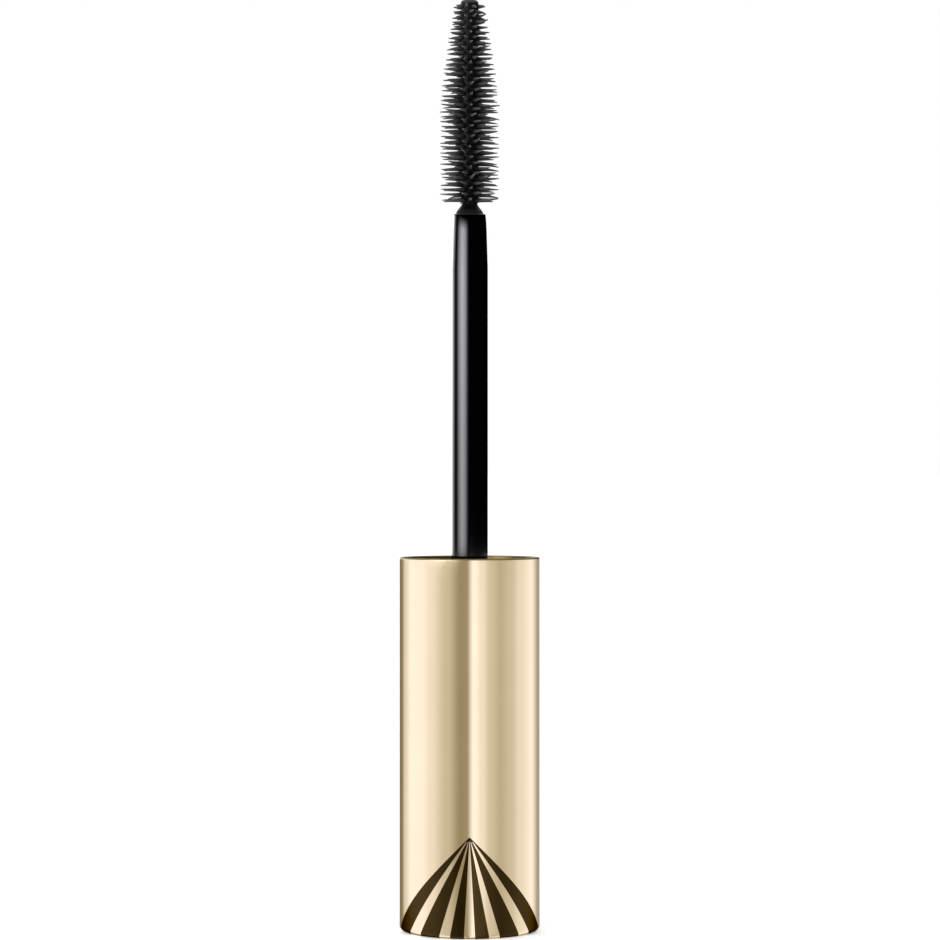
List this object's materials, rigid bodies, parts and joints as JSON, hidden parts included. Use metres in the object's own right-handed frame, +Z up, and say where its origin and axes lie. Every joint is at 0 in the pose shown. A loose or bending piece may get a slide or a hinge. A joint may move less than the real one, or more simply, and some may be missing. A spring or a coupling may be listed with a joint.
{
  "type": "mascara wand",
  "caption": "Mascara cap with its wand: mirror-gold cylindrical cap, long glossy black rod and a moulded black brush with staggered rows of short bristles that tapers to a domed tip.",
  "frame": {"origin": "centre of the cap's closed end, the face that the wand stands on", "axes": "+Z up along the wand, from the cap's closed end to the brush tip; -Y out of the front, where the cap's decoration is centred; +X to the right seen from the front"},
  "size_m": [0.018, 0.018, 0.1195],
  "materials": {
    "gold_shell": "mirror polished, anodised pale gold",
    "cap_print": "printed, glossy dark bronze lacquer",
    "inner_cap_plastic": "satin moulded black",
    "rod_plastic": "high gloss black",
    "brush_plastic": "moulded black, semi gloss",
    "bristle_elastomer": "moulded elastomer, satin black"
  },
  "bodies": {
    "wand": {"cap_shell": "gold_shell", "inner_cap": "inner_cap_plastic", "rod": "rod_plastic"},
    "brush": {"brush_core": "brush_plastic", "bristles": "bristle_elastomer"}
  },
  "joints": [
    {"name": "brush_flex", "type": "hinge", "parent": "wand", "child": "brush", "pos_m": [0, 0, 0.09335], "axis": [0, 1, 0], "range_deg": [-12, 12], "stiffness_Nm_per_rad": 0.015, "deforming": ["brush_core"]}
  ]
}
